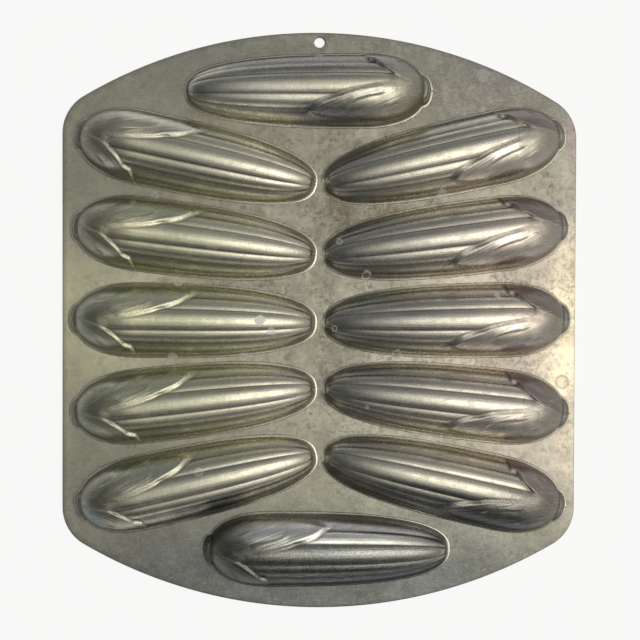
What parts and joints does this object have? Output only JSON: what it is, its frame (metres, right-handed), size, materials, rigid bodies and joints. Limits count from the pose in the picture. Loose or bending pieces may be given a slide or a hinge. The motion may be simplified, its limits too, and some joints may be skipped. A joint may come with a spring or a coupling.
{
  "type": "corn stick pan",
  "caption": "Flat cast baking pan with ear-of-corn moulds in two facing fans and one across each end, and a hanging hole.",
  "frame": {"origin": "middle of the deck's flat baking face, which the pan lies on when it is turned over", "axes": "+Z out of the underside, the way the moulds bulge; +Y towards the hanging hole; +X to the right when looking at the underside with the hanging hole at the top"},
  "size_m": [0.3115, 0.348, 0.0231],
  "materials": {
    "casting": "aged as cast, silvery grey with a warm mottled patina"
  },
  "bodies": {
    "root": {"deck_plate": "casting", "ear_mould_top": "casting", "ear_mould_bottom": "casting", "ear_mould_left_1": "casting", "ear_mould_right_1": "casting", "ear_mould_left_2": "casting", "ear_mould_right_2": "casting", "ear_mould_left_3": "casting", "ear_mould_right_3": "casting", "ear_mould_left_4": "casting", "ear_mould_right_4": "casting", "ear_mould_left_5": "casting", "ear_mould_right_5": "casting"}
  },
  "joints": []
}
